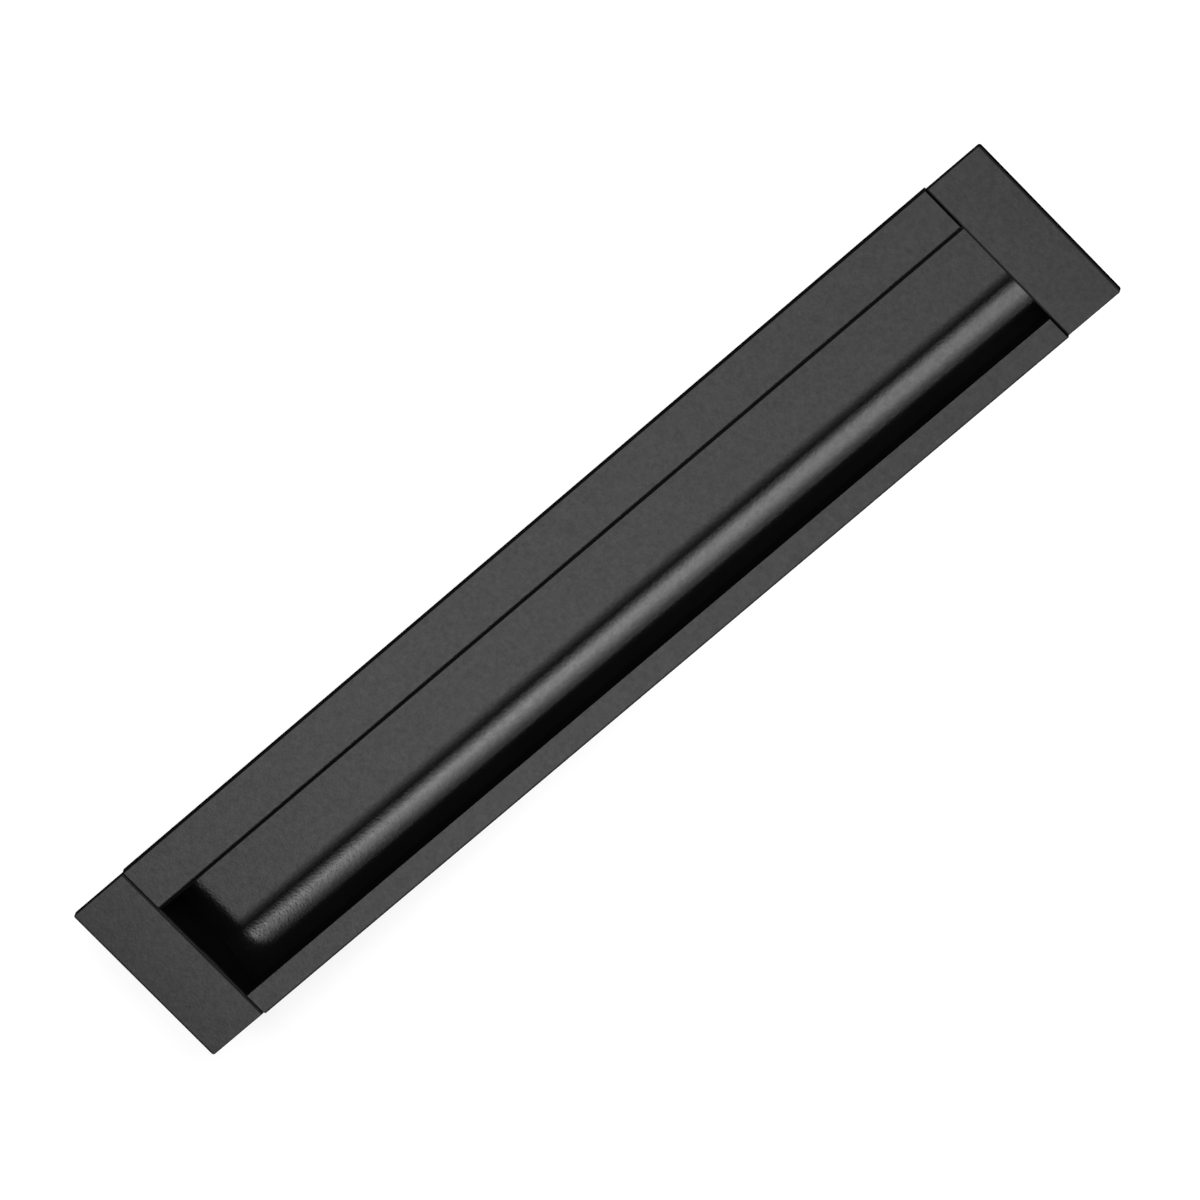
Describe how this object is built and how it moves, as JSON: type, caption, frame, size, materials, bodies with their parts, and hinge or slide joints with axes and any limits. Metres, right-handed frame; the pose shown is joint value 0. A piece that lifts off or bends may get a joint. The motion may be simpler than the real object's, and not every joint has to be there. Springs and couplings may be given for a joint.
{
  "type": "recessed shell handle",
  "caption": "Black recessed shell handle: an extruded aluminium channel with a wide finger lip, closed by two die-cast end caps with threaded fixing bosses.",
  "frame": {"origin": "centre of the back plane, midway between the two fixing holes", "axes": "+X along the channel, +Y towards the wide lip, +Z out of the face, so that the handle lies face up on its back"},
  "size_m": [0.174, 0.0286, 0.01],
  "materials": {
    "coated_profile": "black satin coat with a fine grain",
    "coated_caps": "black satin coat with a fine grain",
    "screw_steel": "zinc-plated steel"
  },
  "bodies": {
    "root": {"profile": "coated_profile", "end_cap_left": "coated_caps", "end_cap_right": "coated_caps", "cap_screws": "screw_steel"}
  },
  "joints": []
}
